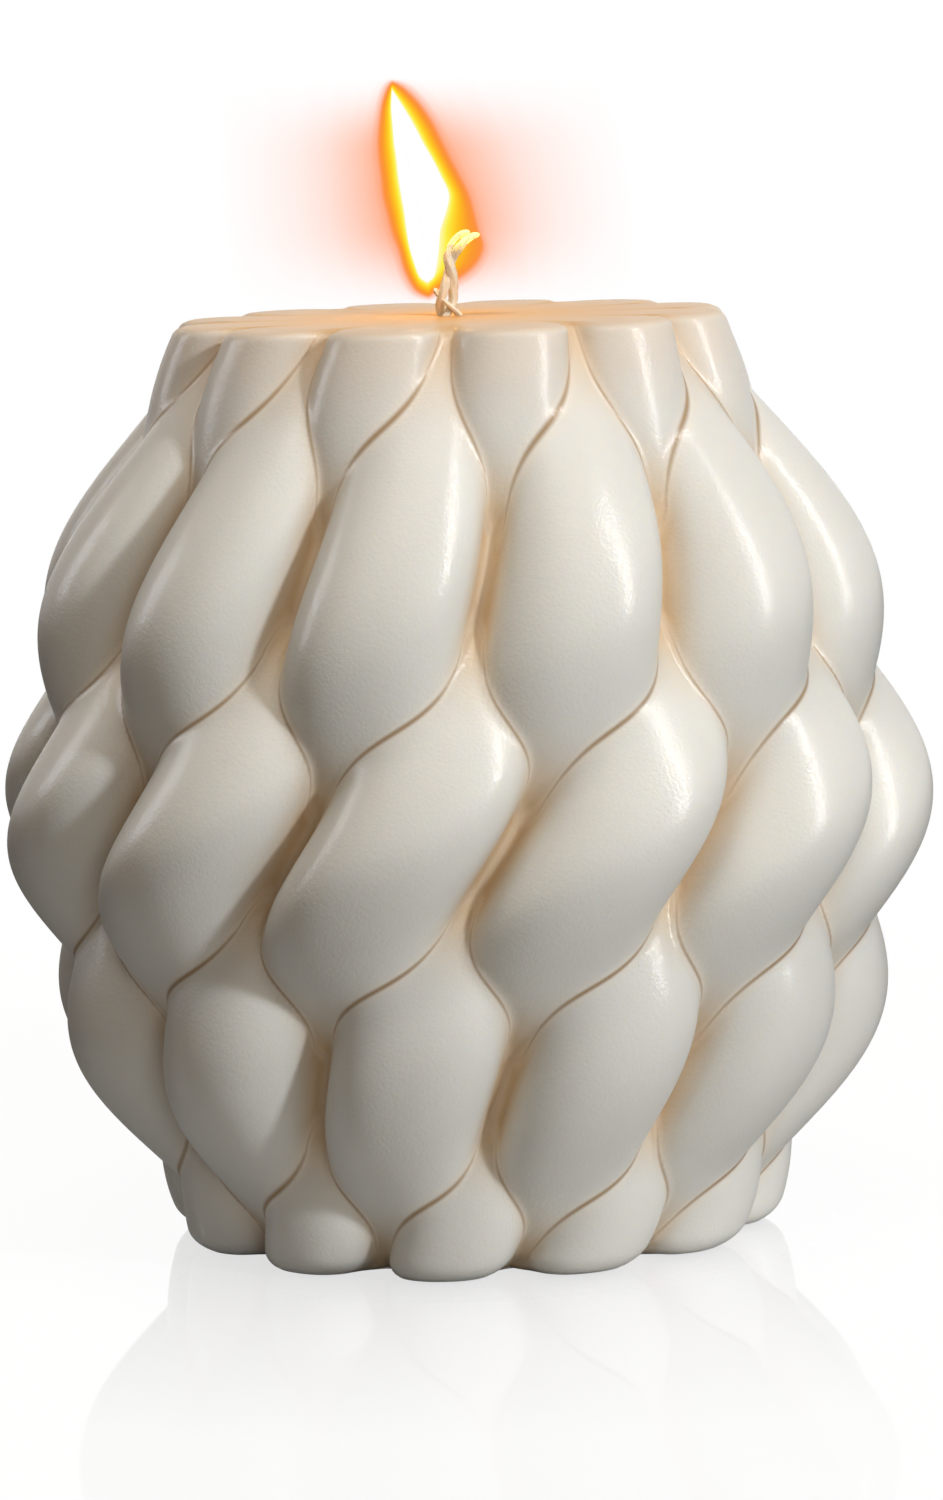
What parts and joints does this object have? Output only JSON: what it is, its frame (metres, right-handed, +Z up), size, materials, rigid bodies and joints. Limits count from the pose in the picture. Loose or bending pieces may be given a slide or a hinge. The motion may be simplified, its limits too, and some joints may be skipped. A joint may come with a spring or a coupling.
{
  "type": "knot candle",
  "caption": "Barrel-shaped pillar candle of cast wax with twisted rope columns around its side, a flat top and a plaited wick held by a metal tab in the base.",
  "frame": {"origin": "on the table under the wick, at the middle of the base", "axes": "+Z up along the wick, -Y towards the viewer of the picture, +X to the viewer's right"},
  "size_m": [0.0788, 0.0788, 0.0858],
  "materials": {
    "wax": "satin",
    "wick": "matte",
    "tab": "satin"
  },
  "bodies": {
    "root": {"wax_body": "wax", "wick_ply_1": "wick", "wick_ply_2": "wick", "wick_ply_3": "wick", "wick_tab": "tab"}
  },
  "joints": []
}
